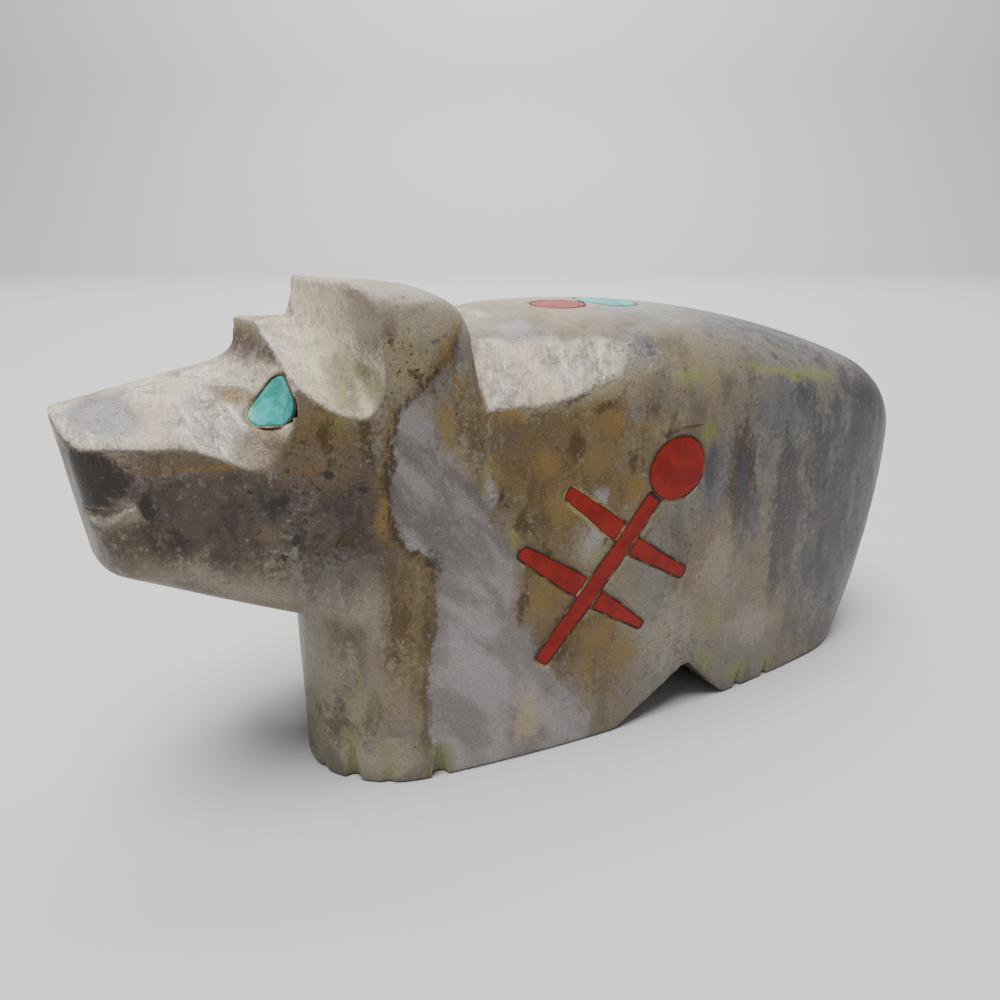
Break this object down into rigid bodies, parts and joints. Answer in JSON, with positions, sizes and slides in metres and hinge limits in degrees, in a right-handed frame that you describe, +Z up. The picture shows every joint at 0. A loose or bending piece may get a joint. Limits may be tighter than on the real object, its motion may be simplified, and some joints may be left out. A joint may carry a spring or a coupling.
{
  "type": "carved stone bear fetish",
  "caption": "Carved stone bear that stands on its feet, with flush turquoise eyes, a coral lizard inlaid in its left flank, and a coral and a turquoise oval on its back.",
  "frame": {"origin": "on the ground, under the middle of the bear's length and width", "axes": "+Z up, -X the way the bear faces, -Y its left side"},
  "size_m": [0.0742, 0.0256, 0.0355],
  "materials": {
    "stone": "mottled grey, lavender and ochre, satin polish with scratched matt facets where the wheel cut",
    "turquoise": "polished",
    "coral": "polished"
  },
  "bodies": {
    "root": {"stone_bear": "stone", "eye_left": "turquoise", "eye_right": "turquoise", "lizard_head": "coral", "lizard_spine": "coral", "lizard_leg_front_upper": "coral", "lizard_leg_hind_upper": "coral", "lizard_leg_front_lower": "coral", "lizard_leg_hind_lower": "coral", "back_coral": "coral", "back_turquoise": "turquoise"}
  },
  "joints": []
}
